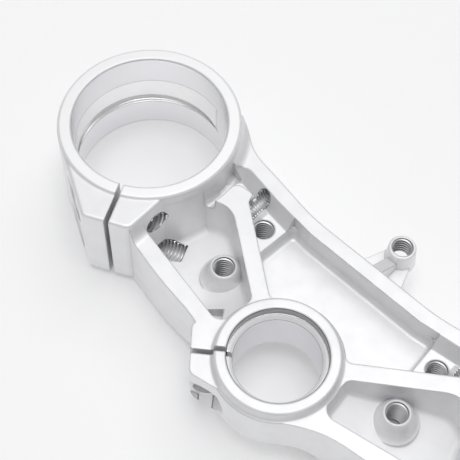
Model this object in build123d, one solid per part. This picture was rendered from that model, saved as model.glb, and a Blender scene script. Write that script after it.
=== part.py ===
from build123d import *
import os
from math import cos, radians, sin

# Motorcycle triple clamp, one milled piece. Millimetres, +Z up out of the pockets, +Y to the
# front rail with the small lug. Heights are counted from the rim of the fork rings, and the
# whole piece is lifted at the end so that the origin is the lower end of the stem bore's wall.

# fork rings
FORK_SPACING = 181.3
FORK_OFFSET = 32.85
FORK_BORE = 54.0
RING_OUTER = 63.8
RING_HEIGHT = 37.1
RIM_CHAMFER = 0.8
RELIEF_TOP = -12.4
RELIEF_BOTTOM = -24.7
RELIEF_DEPTH = 1.6
RELIEF_TURN = 34.0
# pinch ears
SLIT_WIDTH = 1.6
SLIT_TURN = 244.3
EAR_END = 10.3
EAR_TOP = -0.8
EAR_BOTTOM = -35.2
PINCH_WALL = 1.0
PINCH_HIGH = -9.8
PINCH_LOW = -26.6
PINCH_CLEAR = 8.4
PINCH_TAP = 7.4
PINCH_HEAD = 13.6
# stem boss
STEM_BORE = 28.66
STEM_SEAT = 32.46
SEAT_DEPTH = 3.4
STEM_LEAD = 0.6
BOSS_OUTER = 40.5
BOSS_TOP = -4.0
BOSS_BOTTOM = -25.0
STEM_SLIT_TURN = 217.5
STEM_PINCH_REACH = 21.9
STEM_PINCH_Z = -19.1
STEM_PINCH_HEAD = 12.6
# plate, rails and pockets
RAIL_TOP = -7.5
NEAR_FLOOR_END = -26.2
NEAR_FLOOR_MID = -20.0
FRONT_FLOOR = -17.8
FLOOR_FILLET = 2.0
DRAFT = 5.0
BANK_DRAFT = 36.0
PLATFORM_TOP = -12.5
PAD_TOP = -13.4
PAD_RADIUS = 8.0
CHANNEL_DEPTH = -12.5
CHANNEL_WIDTH = 3.8
# threaded holes
TAP_BORE = 7.4
TAP_DEPTH = 14.0
TAP_X = 37.6
TAP_NEAR_Y = 14.8
TAP_FRONT_Y = 34.2
CROSS_TAP_BORE = 5.4
CROSS_TAP_X = 45.2
CROSS_TAP_Z = -10.7
# front lug
LUG_Y = 63.1
LUG_TOP = -15.3
LUG_OUTER = 9.6
LUG_BORE = 7.2

PINCH_REACH = FORK_BORE / 2 + PINCH_WALL + PINCH_CLEAR / 2
EAR_REACH = PINCH_REACH + EAR_END
RING_X = FORK_SPACING / 2
RING_R = RING_OUTER / 2
BOSS_R = BOSS_OUTER / 2
LOW = -RING_HEIGHT
WIDE = RING_X / 90.65
LONG = FORK_OFFSET / 32.85


def at(*points):
    """Plan points, stretched with the fork spacing and the fork offset."""
    return [(x * WIDE, y * LONG) for x, y in points]


def polar(radius, turn):
    return Vector(radius * cos(radians(turn)), radius * sin(radians(turn)))


def outline(vertices):
    """Closed straight-sided outline with rounded corners: (x, y, radius) each."""
    pts = [(x * WIDE, y * LONG) for x, y, _ in vertices]
    face = make_face(Polyline(*pts, close=True)).face()
    for (x, y), (_, _, r) in zip(pts, vertices):
        if r:
            corner = min(face.vertices(), key=lambda v: (v.X - x) ** 2 + (v.Y - y) ** 2)
            face = face.fillet_2d(r, [corner])
    return face


def lifted(face, bottom, top):
    return extrude(Pos(0, 0, bottom) * face, amount=top - bottom, dir=(0, 0, 1))


def both(shape):
    return shape + mirror(shape, about=Plane.YZ)


def turned(edges, x=0.0, y=0.0):
    """A solid turned about a vertical axis; the edges are drawn as radius and height."""
    return Pos(x, y, 0) * revolve(Plane.XZ * make_face(edges), Axis.Z)


def drill(start, direction, radius, length):
    return Plane(origin=start, z_dir=direction) * Cylinder(
        radius, length, align=(Align.CENTER, Align.CENTER, Align.MIN))


def plate_outline():
    """Half of the outer outline, x > 0: front rail, into the ring, near rail, boss."""
    far = at((22, 46.8), (30, 47.4), (40, 49.1), (50, 50.8), (56, 51.8), (61.4, 53.9), (66, 57), (72, 60.2))
    near = at((66, -1.4), (55, -3.9), (40, -6.5), (27, -8.9))
    web = polar(BOSS_R + 1.2, -50)
    web = (web.X, web.Y)
    middle = (0, far[0][1])
    return make_face([
        Line(middle, far[0]), Spline(*far, tangents=[(1, 0), (1, 0.45)]),
        Polyline(far[-1], (RING_X, FORK_OFFSET + 8), (RING_X - 10, FORK_OFFSET - 22), near[0]),
        Spline(*near, web, tangents=[(-1, -0.2), (-0.765, -0.644)]),
        Polyline(web, (0, web[1]), middle),
    ])


def underside():
    """Side view of the plate: flat top, arched below and level with the rings at the ends."""
    end = RING_X - 14
    rise = BOSS_BOTTOM - LOW
    arch = Spline((BOSS_R, BOSS_BOTTOM), (32 * WIDE, LOW + 0.5 * rise), (52 * WIDE, LOW + 0.19 * rise),
                  (end, LOW), tangents=[(1, -0.3), (1, 0)])
    rest = Polyline((end, LOW), (RING_X, LOW), (RING_X, RAIL_TOP), (0, RAIL_TOP), (0, BOSS_BOTTOM),
                    (BOSS_R, BOSS_BOTTOM))
    return extrude(Plane.XZ * make_face([arch, rest]), amount=150, both=True)


def ring():
    c = RIM_CHAMFER
    return turned([Polyline((0, 0), (RING_R - c, 0), (RING_R, -c), (RING_R, LOW + c),
                            (RING_R - c, LOW), (0, LOW), (0, 0))], RING_X, FORK_OFFSET)


def ear_spot(a, b):
    """Plan point counted from the ring: a along the slit, b along the pinch bolts, to the outside."""
    along = polar(1, SLIT_TURN)
    return Vector(RING_X, FORK_OFFSET) + along * a + Vector(-along.Y, along.X) * b


def ear_corner():
    """Where the inner side of an ear leaves the ring."""
    return ear_spot(0.871 * RING_R, -0.476 * RING_R)


def ear():
    """Clamp boss in front of a ring: its end is square to the slit."""
    reach, edge = EAR_REACH, RING_R
    spots = [(10, 10, 0), (0.627 * edge, 0.777 * edge, 0), (reach, 8.6, 3.0), (reach, -8.3, 3.6),
             (0.871 * edge, -0.476 * edge, 0), (6, -12, 0)]
    pts = [(ear_spot(a, b).X / WIDE, ear_spot(a, b).Y / LONG, r) for a, b, r in spots]
    block = lifted(outline(pts), EAR_BOTTOM, EAR_TOP)
    top = block.faces().sort_by(Axis.Z)[-1]
    rim = [e for e in top.edges() if (e.center() - Vector(RING_X, FORK_OFFSET, EAR_TOP)).length > RING_R]
    block = fillet(rim, 1.2)
    low = block.faces().sort_by(Axis.Z)[0]
    rim = [e for e in low.edges() if (e.center() - Vector(RING_X, FORK_OFFSET, EAR_BOTTOM)).length > RING_R]
    return chamfer(rim, 1.5)


def foot():
    """Rounded foot of a ring and its ear on the rail tops."""
    r = RING_R
    low = RAIL_TOP
    curve = ThreePointArc((r - 0.1, low + 4.6), (r + 1.2, low + 1.4), (r + 4.6, low - 0.1))
    rest = Polyline((r + 4.6, low - 0.1), (r - 8, low - 0.1), (r - 8, low + 4.6), (r - 0.1, low + 4.6))
    ringfoot = turned([curve, rest], RING_X, FORK_OFFSET)
    x = ear_corner().X
    side = ThreePointArc((x + 0.1, low + 4.6), (x - 1.2, low + 1.4), (x - 4.4, low - 0.1))
    rest = Polyline((x - 4.4, low - 0.1), (x + 8, low - 0.1), (x + 8, low + 4.6), (x + 0.1, low + 4.6))
    earfoot = extrude(Plane.XZ * make_face([side, rest]), amount=18, both=True)
    return (ringfoot + earfoot) & lifted(plate_outline(), low - 2, low + 6)


def bank():
    """Drafted wall of the ring and the ear, as it stands in a near pocket."""
    r = RING_R
    cone = turned([Polyline((0, 6), (r, 6), (r, -1), (r + 3.2, LOW + 1), (0, LOW + 1), (0, 6))],
                  RING_X, FORK_OFFSET)
    x = ear_corner().X
    wall = Polyline((x, 6), (x, EAR_TOP - 1.5), (x - 2.6, LOW + 1), (x + 20, LOW + 1), (x + 20, 6),
                    close=True)
    block = extrude(Plane.XZ * make_face(wall), amount=16 * LONG, both=True)
    return cone + block


def upright(shape, x, y):
    """The standing edge nearest to a plan point."""
    tall = [e for e in shape.edges() if e.bounding_box().size.Z > 5]
    return min(tall, key=lambda e: (e.center().X - x * WIDE) ** 2 + (e.center().Y - y * LONG) ** 2)


def near_pocket():
    """Pocket between the near rail, the boss, the rib and the ring; its floor rises to the boss."""
    grown = RING_R - 31.9
    face = outline([(72, 5.8, 0), (21.6, -4.0, 4.2), (20.4, 10.0, 3.2),
                    (48.8 - grown, 30.6 - grown * 0.3, 9.0), (62 - grown, 26.6, 0), (80, 20, 0)])
    slope = (NEAR_FLOOR_MID - NEAR_FLOOR_END) / (20 * WIDE)
    side = Polyline((0, NEAR_FLOOR_MID + slope * 37 * WIDE), (90, NEAR_FLOOR_MID + slope * (37 * WIDE - 90)),
                    (90, 5), (0, 5), close=True)
    above = extrude(Plane.XZ * make_face(side), amount=80, both=True)
    drafted = extrude(Pos(0, 0, RAIL_TOP) * face, amount=LOW + 4 - RAIL_TOP, dir=(0, 0, 1), taper=DRAFT)
    return ((drafted + lifted(face, RAIL_TOP, 5)) & above) - bank()


def channel():
    """Round-bottomed cut along the ring wall, behind the head of the rib."""
    r, w, low = RING_R + 0.1, CHANNEL_WIDTH, CHANNEL_DEPTH - 0.2
    groove = make_face([Polyline((r, low + w / 2), (r, 5), (r + w, 5), (r + w, low + w / 2)),
                        ThreePointArc((r, low + w / 2), (r + w / 2, low), (r + w, low + w / 2))])
    groove = Pos(RING_X, FORK_OFFSET, 0) * revolve(Plane.XZ * groove, Axis.Z)
    return groove & (Pos(52 * WIDE, 35 * LONG, 0) * Box(16, 16, 60))


def end_bank():
    """Sloping wall round the raised end of the front pocket, on the sides of the rail and the ring."""
    deep = RAIL_TOP - PLATFORM_TOP
    face = outline([(5, 39.2, 0), (40.0, 43.6, 0), (57.0, 46.6, 4.6), (61.6, 40.4, 0), (68, 36, 0),
                    (72, 0, 0), (5, -20, 0)])
    open_part = extrude(Pos(0, 0, RAIL_TOP) * face, amount=deep, dir=(0, 0, -1), taper=BANK_DRAFT)
    frame = Pos(61.2 * WIDE, 32 * LONG, PLATFORM_TOP + deep / 2) * Box(60 * WIDE, 60 * LONG, deep)
    return frame - open_part


def head_flank():
    """Sloping side of the head of a rib, down to the raised end of the front pocket."""
    slope = Polyline((47.8 * WIDE, RAIL_TOP), (40.6 * WIDE, PLATFORM_TOP), (47.8 * WIDE, PLATFORM_TOP),
                     close=True)
    far = Pos(0, 39.6 * LONG, 0) * (Plane.XZ * make_face(slope))
    return extrude(far, amount=9 * LONG, dir=(0, -1, 0))


def front_pocket():
    """Middle pocket between the front rail, the ribs and the boss, with a raised end on each side."""
    half = outline([
        (-1, 41.5, 0), (23.5, 41.5, 0), (40.0, 43.6, 0), (57.0, 46.6, 4.6), (61.6, 40.4, 0),
        (59.0, 34.0, 0), (55.2, 34.0, 0), (55.0, 39.0, 3.0), (47.8, 39.7, 1.4), (46.6, 36.3, 2.0),
        (14, 12.5, 0), (-1, 12.5, 0)])
    face = ((half + mirror(half, about=Plane.YZ)) - Circle(BOSS_R + 1.2)).face()
    tips = [v for v in face.vertices() if abs(Vector(v.X, v.Y).length - BOSS_R - 1.2) < 0.1 and abs(v.X) > 5]
    hollow = lifted(face.fillet_2d(2.4, tips), FRONT_FLOOR, 5)
    step = outline([(32.6, 20, 0), (29.9, 60, 0), (70, 60, 0), (70, 20, 0)])
    step = lifted(step, FRONT_FLOOR - 1, PLATFORM_TOP)
    hollow = hollow - both(step)
    for x in (34, -34):
        for y in (26.8, 42.9):
            hollow = fillet(upright(hollow, x, y), FLOOR_FILLET + 0.6)
    floor = hollow.faces().sort_by(Axis.Z)[0]
    wall = Pos(RING_X, FORK_OFFSET, 0) * Cylinder(RING_R + 0.1, 4 * RING_HEIGHT)
    return fillet(floor.edges(), FLOOR_FILLET) - both(end_bank() + head_flank() + wall)


def pad():
    """Raised seat of the threaded hole in a near pocket."""
    low = NEAR_FLOOR_MID
    r = PAD_RADIUS
    flank = Spline((r - 3.7, PAD_TOP), (r - 2.5, PAD_TOP - 1.6), (r - 1.5, low + 2.4), (r + 0.1, low - 0.6),
                   tangents=[(1, -0.7), (1, -0.5)])
    rest = Polyline((r + 0.1, low - 0.6), (r + 0.1, low - 4), (0, low - 4), (0, PAD_TOP), (r - 3.7, PAD_TOP))
    return turned([flank, rest], TAP_X, TAP_NEAR_Y)


def stem_boss():
    top, low, r = BOSS_TOP, RAIL_TOP, BOSS_R
    flank = ThreePointArc((r, low + 1.6), (r + 0.4, low + 0.5), (r + 1.4, low - 0.1))
    rest = Polyline((r + 1.4, low - 0.1), (r + 1.2, BOSS_BOTTOM), (0, BOSS_BOTTOM), (0, top), (r - 0.6, top),
                    (r, top - 0.6), (r, low + 1.6))
    return turned([flank, rest])


def stem_lug():
    """Pinch boss of the stem, on the near left side only."""
    u = polar(1, STEM_SLIT_TURN)
    v = Vector(-u.Y, u.X)
    spots = [(8, 17, 0), (27.2, 7.6, 3.0), (28.4, -9.5, 2.5), (24.6, -11.6, 0), (8, -8, 0)]
    pts = [((u * a + v * b).X, (u * a + v * b).Y, r) for a, b, r in spots]
    face = make_face(Polyline(*[(x, y) for x, y, _ in pts], close=True)).face()
    for x, y, r in pts:
        if r:
            corner = min(face.vertices(), key=lambda w: (w.X - x) ** 2 + (w.Y - y) ** 2)
            face = face.fillet_2d(r, [corner])
    return lifted(face, BOSS_BOTTOM, RAIL_TOP)


def front_lug():
    """Small eye in front of the far rail, held by a sloping rib and a thin flange."""
    y = LUG_Y * LONG
    rail = 45 * LONG
    low = BOSS_BOTTOM
    r = LUG_OUTER / 2
    eye = turned([Polyline((0, low + 1), (r + 0.8, low + 1), (r, LUG_TOP - 0.4), (r - 0.4, LUG_TOP),
                           (0, LUG_TOP), (0, low + 1))], 0, y)
    flange = Polyline((-11.5, rail), (-r, y), (0, y + r - 1), (r, y), (11.5, rail), close=True)
    flange = lifted(make_face(flange).face(), low + 1, low + 3.4)
    side = Polyline((rail, low + 1), (y, low + 1), (y, LUG_TOP - 4), (y - r + 0.6, LUG_TOP - 3.7),
                    (rail + 1.8, RAIL_TOP - 3.5), (rail, RAIL_TOP - 3.5), close=True)
    rib = extrude(Plane.YZ * make_face(side), amount=2.0, both=True)
    return eye + flange + rib


def fork_cuts():
    """Bore, relief, slit and pinch bolt holes of the right fork ring."""
    c = RIM_CHAMFER
    r = FORK_BORE / 2
    bore = turned([Polyline((0, LOW - 1), (r + c + 1, LOW - 1), (r, LOW + c), (r, -0.5), (r + 1.5, 1),
                            (0, 1), (0, LOW - 1))], RING_X, FORK_OFFSET)
    away = polar(RELIEF_DEPTH + 0.5, RELIEF_TURN)
    relief = Pos(RING_X + away.X, FORK_OFFSET + away.Y, (RELIEF_TOP + RELIEF_BOTTOM) / 2) * Cylinder(
        r - 0.5, RELIEF_TOP - RELIEF_BOTTOM)
    u = polar(1, SLIT_TURN)
    across = Vector(-u.Y, u.X)
    mouth = ear_spot(EAR_REACH / 2 + 12, 0)
    slit = Plane(origin=(mouth.X, mouth.Y, LOW / 2), x_dir=u, z_dir=(0, 0, 1)) * Box(
        EAR_REACH, SLIT_WIDTH, RING_HEIGHT + 4)
    cuts = bore + relief + slit
    for z in (PINCH_HIGH, PINCH_LOW):
        spot = ear_spot(PINCH_REACH, 0)
        start = Vector(spot.X, spot.Y, z)
        cuts += drill(start, across, PINCH_CLEAR / 2, 30)
        cuts += drill(start + across * 8.6, across, PINCH_HEAD / 2, 25)
        cuts += drill(start, across * -1, PINCH_TAP / 2, 23.5)
    return cuts


def stem_cuts():
    """Stem bore with its seat, the slit and the pinch bolt hole."""
    r, seat = STEM_BORE / 2, STEM_SEAT / 2
    ledge = BOSS_TOP - SEAT_DEPTH
    bore = turned([Polyline((0, BOSS_BOTTOM - 1), (r + 1 + STEM_LEAD, BOSS_BOTTOM - 1),
                            (r, BOSS_BOTTOM + STEM_LEAD), (r, ledge - 1), (r + 1, ledge), (seat, ledge),
                            (seat, BOSS_TOP - 0.5), (seat + 1.5, BOSS_TOP + 1), (0, BOSS_TOP + 1),
                            (0, BOSS_BOTTOM - 1))])
    u = polar(1, STEM_SLIT_TURN)
    v = Vector(-u.Y, u.X)
    mouth = u * (r + 10)
    slit = Plane(origin=(mouth.X, mouth.Y, -15), x_dir=u, z_dir=(0, 0, 1)) * Box(24, SLIT_WIDTH, 40)
    start = u * STEM_PINCH_REACH + Vector(0, 0, STEM_PINCH_Z)
    screw = drill(start, v, PINCH_CLEAR / 2, 30) + drill(start + v * 7, v, STEM_PINCH_HEAD / 2, 25)
    return bore + slit + screw + drill(start, v * -1, PINCH_TAP / 2 - 0.3, 20.6)


def tapped(x, y, mouth):
    """Upright blind hole with a countersunk mouth and a drill point."""
    r = TAP_BORE / 2
    low = mouth - TAP_DEPTH
    return turned([Polyline((0, 4), (r, 4), (r, mouth + 1.2), (r + 1.5, mouth + 1.2), (r, mouth - 0.3),
                            (r, low), (0, low - r * 0.5), (0, 4))], x, y)


def taps():
    """Threaded holes of the right half: two upright, one along Y through the front rail."""
    cross = drill((CROSS_TAP_X, 34.0 * LONG, CROSS_TAP_Z), (0, 1, 0), CROSS_TAP_BORE / 2, 30)
    return tapped(TAP_X, TAP_NEAR_Y, PAD_TOP) + tapped(TAP_X, TAP_FRONT_Y, PLATFORM_TOP) + cross


def clamp():
    plate = lifted(plate_outline(), LOW - 5, RAIL_TOP) & underside()
    right = plate + ring() + ear() + foot()
    hollow = near_pocket()
    floor = max((f for f in hollow.faces() if f.normal_at().Z < -0.9), key=lambda f: f.area)
    right = right - fillet(floor.edges(), FLOOR_FILLET) - channel() + pad()
    body = both(right) + stem_lug() + front_lug()
    body = body - front_pocket() + stem_boss()
    body = body - both(fork_cuts() + taps()) - stem_cuts()
    return body - drill((0, LUG_Y * LONG, 0), (0, 0, -1), LUG_BORE / 2, 60)


body = Pos(0, 0, -BOSS_BOTTOM - STEM_LEAD) * clamp()
print("solids", len(body.solids()), "volume", body.volume, "valid", body.is_valid)
body.label = "clamp_body"
os.makedirs("parts", exist_ok=True)
export_step(body, "parts/clamp_body.step")
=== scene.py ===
import math

import bpy
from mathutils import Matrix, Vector
from mathutils.bvhtree import BVHTree


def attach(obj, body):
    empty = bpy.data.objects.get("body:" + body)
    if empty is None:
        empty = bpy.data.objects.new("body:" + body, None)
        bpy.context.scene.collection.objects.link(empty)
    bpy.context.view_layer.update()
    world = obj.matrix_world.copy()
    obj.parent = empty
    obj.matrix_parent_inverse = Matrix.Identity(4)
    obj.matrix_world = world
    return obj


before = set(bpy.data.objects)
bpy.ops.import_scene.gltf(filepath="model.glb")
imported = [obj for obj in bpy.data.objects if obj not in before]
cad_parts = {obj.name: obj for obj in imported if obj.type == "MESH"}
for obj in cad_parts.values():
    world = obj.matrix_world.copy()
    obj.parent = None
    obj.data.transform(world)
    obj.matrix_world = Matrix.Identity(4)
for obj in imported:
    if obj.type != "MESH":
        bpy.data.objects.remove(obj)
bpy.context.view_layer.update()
scene = bpy.context.scene
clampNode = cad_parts["clamp_body"]

# places in the row frame, in metres
ringX, ringY = 0.09065, 0.03285  # fork ring axis, mirrored for the other ring
rimZ, floorZ = 0.0244, -0.0127  # ring's top face, and the face that it stands on
down = (0, 0, -1)
white = (1.0, 1.0, 1.0, 1.0)


class Wire:
    tree = None  # the node tree that is being built

    def __init__(self, socket):
        self.socket = socket

    @classmethod
    def node(cls, kind, settings=None, inputs=None, output=0):
        made = cls.tree.nodes.new("ShaderNode" + kind)
        for key, value in (settings or {}).items():
            if key == "stops":
                cls.setStops(made.color_ramp.elements, value)
            else:
                setattr(made, key, value)
        cls.feed(made, inputs or {})
        return cls(made.outputs[output])

    @staticmethod
    def setStops(elements, stops):  # lowest first, because a new stop is sorted in
        for index, (spot, shade) in enumerate(stops):
            if index > 1:
                elements.new(spot)
            elements[index].position = spot
            elements[index].color = shade

    @classmethod
    def feed(cls, made, inputs):  # a wire is linked, a plain value is set
        for key, value in inputs.items():
            if isinstance(value, Wire):
                cls.tree.links.new(value.socket, made.inputs[key])
            else:
                made.inputs[key].default_value = value

    def maths(self, operation, other=0.0, swapped=False):
        pair = (other, self) if swapped else (self, other)
        return Wire.node("Math", {"operation": operation}, {0: pair[0], 1: pair[1]})

    def __add__(self, other):
        return self.maths("ADD", other)

    def __radd__(self, other):
        return self.maths("ADD", other, True)

    def __sub__(self, other):
        return self.maths("SUBTRACT", other)

    def __rsub__(self, other):
        return self.maths("SUBTRACT", other, True)

    def __mul__(self, other):
        return self.maths("MULTIPLY", other)

    def __rmul__(self, other):
        return self.maths("MULTIPLY", other, True)

    def __pow__(self, other):
        return self.maths("POWER", other)

    def __rpow__(self, other):
        return self.maths("POWER", other, True)

    def __abs__(self):
        return self.maths("ABSOLUTE")

    def under(self, limit, soft):  # 1 below the limit, 0 above it
        return Wire.node("MapRange", {"interpolation_type": "SMOOTHSTEP"},
                         {"Value": self, "From Min": limit - soft, "From Max": limit + soft,
                          "To Min": 1.0, "To Max": 0.0})

    def split(self):  # x, y and z of a vector
        parts = Wire.node("SeparateXYZ", {}, {0: self}).socket.node.outputs
        return [Wire(part) for part in parts]


def vectorMaths(operation, *vectors, output=0):
    return Wire.node("VectorMath", {"operation": operation}, dict(enumerate(vectors)), output)


def mixed(mask, first, second):
    return Wire.node("Mix", {"data_type": "RGBA"}, {0: mask, 6: first, 7: second}, 2)


def newMaterial(name):
    made = bpy.data.materials.new(name)
    made.use_nodes = True
    Wire.tree = made.node_tree
    return made, made.node_tree.nodes["Principled BSDF"]


# tapped holes: the ridges, then each hole's mouth, way in and length, on the side of +x for a pair
threads = {
    "coarse": {"radius": 0.0037, "pitch": 0.00128, "height": 0.00048, "width": 0.30},
    "upright": {"radius": 0.0037, "pitch": 0.00142, "height": 0.00050, "width": 0.17},
    "fine": {"radius": 0.0027, "pitch": 0.00105, "height": 0.00036, "width": 0.28},
    "padHole": {"start": (0.0376, 0.0148, 0.0102), "axis": down, "length": 0.0128},
    "platformHole": {"start": (0.0376, 0.0342, 0.0111), "axis": down, "length": 0.0128},
    "railHole": {"start": (0.0452, 0.0343, 0.0137), "axis": (0, 1, 0), "length": 0.0165},
    "lugHole": {"start": (0.0, 0.0631, 0.0088), "axis": down, "length": 0.0082, "radius": 0.0036},
    "earHoles": {"turn": 244.3, "along": 0.0322, "aside": -0.0008, "drops": (0.0098, 0.0266),
                 "length": 0.0225},
    "stemHole": {"turn": 217.5, "along": 0.0219, "aside": -0.0009, "height": 0.0053,
                 "length": 0.0195, "radius": 0.0034},
    "stepsPerTurn": 28,
    "shortestRun": 3,  # in steps
    "wallGap": 0.00016,  # the hole has a wall where the solid is nearer than this
    "sunk": 0.00008,  # how deep the ridge's foot lies in the wall
    "crestShare": 0.2,  # width of the crest, as a share of the foot
    # painted shade: the upright holes' ridges darker than the same metal in the cross holes
    "uprightShadedColour": (0.46, 0.46, 0.47, 1.0),
    "crossColour": (0.90, 0.903, 0.91, 1.0),
    "roughness": 0.35,
    "metallic": 0.8,
}


def across(turn, along, aside, height):  # a point beside a slit that leaves a ring at this turn
    ux, uy = math.cos(math.radians(turn)), math.sin(math.radians(turn))
    return (ux * along - uy * aside, uy * along + ux * aside, height), (uy, -ux, 0)


def tappedHoles():  # the holes that both sides have, then the single ones
    coarse, upright = threads["coarse"], threads["upright"]
    ear, stem = threads["earHoles"], threads["stemHole"]
    paired = [dict(upright, **threads["padHole"]), dict(upright, **threads["platformHole"]),
              dict(threads["fine"], **threads["railHole"])]
    for drop in ear["drops"]:
        (px, py, pz), axis = across(ear["turn"], ear["along"], ear["aside"], rimZ - drop)
        start = (ringX + px, ringY + py, pz)
        paired.append(dict(coarse, start=start, axis=axis, length=ear["length"]))
    start, axis = across(stem["turn"], stem["along"], stem["aside"], stem["height"])
    stemHole = dict(coarse, radius=stem["radius"], start=start, axis=axis, length=stem["length"])
    return paired, stemHole, dict(upright, **threads["lugHole"])


pairedHoles, stemHole, lugHole = tappedHoles()

metal = {
    # colours
    "blasted": (0.86, 0.86, 0.873, 1.0),  # level faces
    "paintedLightPale": (0.98, 0.98, 0.985, 1.0),  # painted light: walls and the deepest floors paler than the level faces
    "rim": (0.93, 0.93, 0.937, 1.0),
    # painted light: the relief recess white, paler than the metal, so it looks lit
    "relief": white,
    "bored": (0.93, 0.925, 0.945, 1.0),
    # painted shade: the stem bore darker than the fork bore of the same turned finish
    "stemBored": (0.74, 0.735, 0.765, 1.0),
    # painted shade: the wall of the stem's seat dark grey
    "seatWall": (0.38, 0.377, 0.39, 1.0),
    # painted shade: near black inside the tapped holes
    "tapped": (0.09, 0.09, 0.095, 1.0),
    "shadeAndBlotchGrey": (0.40, 0.395, 0.425, 1.0),  # grey of painted shade on sheltered walls, corners and edges, also of the random blotches
    # how much of the grey goes where: painted shade, and random blotches
    "shelterShare": 0.33,
    "shelterReach": 0.022,
    "wallShare": 0.06,
    "creaseShare": 0.20,
    "creaseReach": 0.004,
    "edgeShare": 0.6,
    "patchShare": 0.2,
    "patchLeast": 0.03,
    "stemHoleUnshaded": 0.9,  # share of the painted shade that the stem's screw hole goes without
    "seatEdgeUnshaded": 0.75,  # and the edges of the stem's seat
    # painted shade in the tapped holes: how dark they are on level faces, and what walls add
    "tappedLevel": 0.4,
    "tappedWall": 0.6,
    # what the blasted metal has, and what each face adds to it
    "roughness": {"blasted": 0.45, "bored": -0.23, "relief": -0.3, "patches": 0.12},
    "metallic": {"blasted": 0.4, "bored": 0.5, "ledge": -0.85, "relief": 0.6, "level": -0.4},
    # grain, patches and edges
    "grainScale": 2300.0,
    "grainDetail": 2.0,
    "grainDepth": 0.00004,
    "grainStrength": 0.2,
    "patchScale": 160.0,
    "patchDetail": 3.0,
    "edgeRadius": 0.0008,
    "edgeTurn": (0.16, 0.08),
    "seatSharp": 0.8,  # the stem's seat keeps its sharp edges
    "shelterSamples": 8,
    "edgeSamples": 6,
    # how far the mask of a tapped hole reaches past its thread
    "holeMargin": 0.0003,
    "holeSoft": 0.00012,
    "holeMouth": (-0.0004, 0.0002),
    "holeEndSoft": 0.0002,
    # where the turned faces and the deepest floors end: a radius or a height, and how soft
    "limits": {
        "forkBore": (0.02708, 0.00004),
        "reliefInner": (0.02715, 0.00003),
        "reliefOuter": (0.0290, 0.0001),
        "reliefTop": (0.0130, 0.0001),
        "reliefFoot": (-0.0010, 0.0001),
        "rimOuter": (0.0317, 0.0002),
        "rimFoot": (0.0232, 0.0001),
        "stemSeat": (0.01645, 0.00004),
        "seatWall": (0.01616, 0.00004),
        "ledgeOuter": (0.0160, 0.0001),
        "ledgeInner": (0.01442, 0.00003),
        "deepFloor": (0.0052, 0.0022),
    },
}
limits = metal["limits"]
metalMaterial, shader = newMaterial("blasted_aluminium")
place = Wire.node("TexCoord", output=3)
x, y, z = place.split()
folded = Wire.node("CombineXYZ", {}, {0: abs(x), 1: y, 2: z})
ringWay = ((abs(x) - ringX) ** 2 + (y - ringY) ** 2) ** 0.5
stemWay = (x ** 2 + y ** 2) ** 0.5


def noise(scale, detail):
    return Wire.node("TexNoise", {}, {"Vector": place, "Scale": scale, "Detail": detail})


def shelteredWithin(reach):  # 0 on an open face, towards 1 where walls stand within the reach
    settings = {"samples": metal["shelterSamples"], "only_local": True}
    return 1 - Wire.node("AmbientOcclusion", settings, {"Distance": reach}, 1)


def band(way, outer, inner):  # 1 between two limits
    return way.under(*limits[outer]) * (1 - way.under(*limits[inner]))


def tappedMask(point, hole):
    away = vectorMaths("SUBTRACT", point, hole["start"])
    offAxis = vectorMaths("LENGTH", vectorMaths("CROSS_PRODUCT", away, hole["axis"]), output=1)
    depth = vectorMaths("DOT_PRODUCT", away, hole["axis"], output=1)
    inside = offAxis.under(hole["radius"] + metal["holeMargin"], metal["holeSoft"])
    return inside * depth.under(hole["length"], metal["holeEndSoft"]) * (
        1 - depth.under(*metal["holeMouth"]))


tapped = tappedMask(place, lugHole)
for hole in pairedHoles:
    tapped = tapped + tappedMask(folded, hole)
forkBored = ringWay.under(*limits["forkBore"])
stemBored = stemWay.under(*limits["stemSeat"])
bored = forkBored + stemBored
ledge = band(stemWay, "ledgeOuter", "ledgeInner")
seatWall = stemBored * (1 - stemWay.under(*limits["seatWall"]))
relief = band(ringWay, "reliefOuter", "reliefInner") * band(z, "reliefTop", "reliefFoot")
rim = ringWay.under(*limits["rimOuter"]) * (1 - z.under(*limits["rimFoot"]))
unturned = 1 - (bored + rim).maths("MINIMUM", 1.0)
blasted = unturned * (1 - relief)

upright = 1 - abs(Wire.node("NewGeometry", output=1).split()[2])
level = z.under(*limits["deepFloor"]) * (1 - upright)
patches = noise(metal["patchScale"], metal["patchDetail"]) - 0.5
grain = noise(metal["grainScale"], metal["grainDetail"])
trueNormal = Wire.node("NewGeometry", output=3)
softened = Wire.node("Bevel", {"samples": metal["edgeSamples"]}, {"Radius": metal["edgeRadius"]})
turned = 1 - vectorMaths("DOT_PRODUCT", softened, trueNormal, output=1)
# painted shade: a grey line along the rounded edges, less of it at the stem's seat
edges = (1 - turned.under(*metal["edgeTurn"])) * (1 - relief) * metal["edgeShare"]
edges = edges * (1 - stemBored * metal["seatEdgeUnshaded"])
# painted shade: grey where walls shelter a face, on all upright walls and in creases
sheltered = shelteredWithin(metal["shelterReach"]) * metal["shelterShare"]
crease = shelteredWithin(metal["creaseReach"]) * metal["creaseShare"]
shadeAndBlotchGrey = (sheltered + metal["wallShare"]) * upright + crease
shadeAndBlotchGrey = shadeAndBlotchGrey * blasted * (1 - tappedMask(place, stemHole) * metal["stemHoleUnshaded"])
# random blotches of tone, in the same grey as the painted shade
greyPatches = (patches * metal["patchShare"] + metal["patchLeast"]) * unturned

# painted shade in the tapped holes, darker on their walls
tappedShade = tapped * (upright * metal["tappedWall"] + metal["tappedLevel"])

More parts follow.
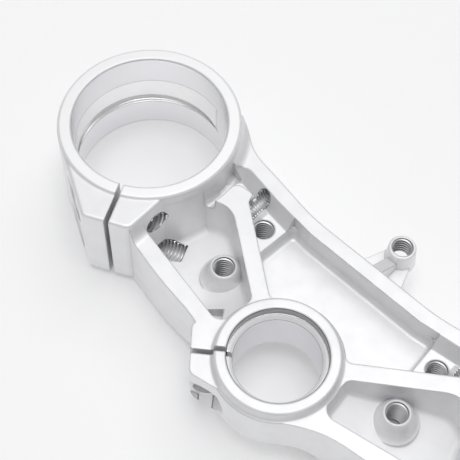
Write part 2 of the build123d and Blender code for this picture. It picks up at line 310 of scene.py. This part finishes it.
# over the blasted colour: the turned faces' own tones, painted light on walls, deep floors and the
# relief, painted shade in the stem bore, seat wall, shelters, creases, edges and tapped holes, and
# random blotches of tone
layers = [(level + upright, "paintedLightPale"), (rim, "rim"), (relief, "relief"), (forkBored, "bored"),
          (stemBored, "stemBored"), (ledge, "rim"), (seatWall, "seatWall"), (shadeAndBlotchGrey, "shadeAndBlotchGrey"),
          (greyPatches, "shadeAndBlotchGrey"), (edges, "shadeAndBlotchGrey"), (tappedShade, "tapped")]
colour = metal["blasted"]
for mask, paint in layers:
    colour = mixed(mask, colour, metal[paint])
rough, shine = metal["roughness"], metal["metallic"]
roughness = bored * rough["bored"] + relief * rough["relief"] + rough["blasted"]
roughness = roughness + patches * rough["patches"] * blasted
metallic = bored * shine["bored"] + ledge * shine["ledge"] + relief * shine["relief"]
metallic = metallic + level * (1 - relief) * shine["level"] + shine["blasted"]
leaned = Wire.node("Mix", {"data_type": "VECTOR"},
                   {0: stemBored * metal["seatSharp"], 4: softened, 5: trueNormal}, 1)
bump = Wire.node("Bump", {}, {"Strength": metal["grainStrength"], "Distance": metal["grainDepth"],
                              "Height": grain * blasted, "Normal": leaned})
Wire.feed(shader, {"Base Color": colour, "Roughness": roughness, "Metallic": metallic, "Normal": bump})
clampNode.data.materials.clear()
clampNode.data.materials.append(metalMaterial)
print("stage metal")

shell = BVHTree.FromPolygons([v.co for v in clampNode.data.vertices],
                             [p.vertices for p in clampNode.data.polygons])


def wallRuns(hole):  # stretches of the winding line where the hole has a wall
    start, axis = Vector(hole["start"]), Vector(hole["axis"]).normalized()
    side = axis.orthogonal().normalized()
    other = axis.cross(side)
    steps = threads["stepsPerTurn"]
    runs = [[]]
    for index in range(int(hole["length"] / hole["pitch"] * steps) + 1):
        angle = 2 * math.pi * index / steps
        out = side * math.cos(angle) + other * math.sin(angle)
        middle = start + axis * (hole["pitch"] * index / steps)
        distance = shell.find_nearest(middle + out * hole["radius"])[3]
        if distance is not None and distance < threads["wallGap"]:
            runs[-1].append((middle, out))
        elif runs[-1]:
            runs.append([])
    return [run for run in runs if len(run) >= threads["shortestRun"]]


def threadRidge(hole, points, faces):  # four points at each step, closed at both ends
    half = Vector(hole["axis"]).normalized() * hole["pitch"] * hole["width"]
    crestHalf = half * threads["crestShare"]
    for run in wallRuns(hole):
        first = len(points)
        for middle, out in run:
            wall = middle + out * (hole["radius"] + threads["sunk"])
            crest = middle + out * (hole["radius"] - hole["height"])
            points.extend([wall - half, crest - crestHalf, crest + crestHalf, wall + half])
        last = len(points) - 4
        for row in range(first, last, 4):
            for k in range(4):
                n = (k + 1) % 4
                faces.append((row + k, row + n, row + 4 + n, row + 4 + k))
        faces.append((first + 3, first + 2, first + 1, first))
        faces.append((last, last + 1, last + 2, last + 3))


def mirrored(hole):
    (sx, sy, sz), (ax, ay, az) = hole["start"], hole["axis"]
    return dict(hole, start=(-sx, sy, sz), axis=(-ax, ay, az))


def ridgeObject(name, holes, tint):
    points, faces = [], []
    for hole in holes:
        threadRidge(hole, points, faces)
    mesh = bpy.data.meshes.new(name)
    mesh.from_pydata(points, [], faces)
    mesh.validate()
    mesh.update()
    made = bpy.data.objects.new(name, mesh)
    scene.collection.objects.link(made)
    material, ridgeShader = newMaterial(name + "_metal")
    Wire.feed(ridgeShader, {"Base Color": tint, "Roughness": threads["roughness"],
                            "Metallic": threads["metallic"]})
    mesh.materials.append(material)
    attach(made, "root")
    print("stage", name, len(faces))


everyHole = pairedHoles + [mirrored(hole) for hole in pairedHoles] + [stemHole, lugHole]
ridgeObject("upright_threads", [h for h in everyHole if h["axis"][2]], threads["uprightShadedColour"])
ridgeObject("cross_threads", [h for h in everyHole if not h["axis"][2]], threads["crossColour"])

# pale paper under the part, a little bright by itself
paper = {"colour": (0.84, 0.84, 0.845, 1.0), "glow": 0.155, "reach": 3.0, "roughness": 0.9,
         "specular": 0.0}
reach = paper["reach"]
floorMesh = bpy.data.meshes.new("floor")
floorMesh.from_pydata([(-reach, -reach, floorZ), (reach, -reach, floorZ), (reach, reach, floorZ),
                       (-reach, reach, floorZ)], [], [(0, 1, 2, 3)])
floor = bpy.data.objects.new("floor", floorMesh)
scene.collection.objects.link(floor)
floorMaterial, floorShader = newMaterial("floor_paper")
Wire.feed(floorShader, {"Base Color": paper["colour"], "Roughness": paper["roughness"],
                        "Specular IOR Level": paper["specular"], "Emission Color": white,
                        "Emission Strength": paper["glow"]})
floorMesh.materials.append(floorMaterial)
print("stage floor")

# a soft tent, bright overhead and dimmer towards the sides
# each lamp has the way to it, its strength and its spread in degrees
tent = {
    "side": 0.18,
    "shoulder": 0.32,
    "top": 0.50,
    "shoulderHeight": 0.45,
    "topHeight": 0.82,
    "tone": (1.0, 1.003, 1.012),
    "strength": 1.0,
    "key": ((0.02, -0.04, 1.0), 1.08, 34),
    "back": ((-0.14, 0.56, 1.0), 0.50, 44),
}


def tentShade(value):
    red, green, blue = tent["tone"]
    return (value * red, value * green, value * blue, 1.0)


world = bpy.data.worlds.new("studio")
scene.world = world
world.use_nodes = True
Wire.tree = world.node_tree
height = Wire.node("TexCoord", output=0).split()[2]
sky = Wire.node("ValToRGB", {"stops": [(0.0, tentShade(tent["side"])),
                                       (tent["shoulderHeight"], tentShade(tent["shoulder"])),
                                       (tent["topHeight"], tentShade(tent["top"])),
                                       (1.0, tentShade(tent["top"]))]}, {"Fac": height})
Wire.feed(world.node_tree.nodes["Background"], {"Color": sky, "Strength": tent["strength"]})


def lamp(name, way, strength, spread):
    data = bpy.data.lights.new(name, "SUN")
    data.energy = strength
    data.angle = math.radians(spread)
    made = bpy.data.objects.new(name, data)
    made.rotation_mode = "QUATERNION"
    made.rotation_quaternion = Vector(way).to_track_quat("Z", "Y")
    scene.collection.objects.link(made)


lamp("key", *tent["key"])
lamp("back", *tent["back"])
print("stage lights")

view = {"place": (0.102309, -0.135354, 0.37736), "turn": (30.9107, -0.7348, 43.7198),
        "lens": 98.55, "sensor": 36.0, "nearest": 0.02, "farthest": 20.0}
cameraData = bpy.data.cameras.new("camera")
cameraData.sensor_width = view["sensor"]
cameraData.lens = view["lens"]
cameraData.clip_start, cameraData.clip_end = view["nearest"], view["farthest"]
camera = bpy.data.objects.new("camera", cameraData)
camera.location = view["place"]
camera.rotation_euler = [math.radians(a) for a in view["turn"]]
scene.collection.objects.link(camera)
scene.camera = camera
scene.view_settings.view_transform = "Standard"
print("stage camera")
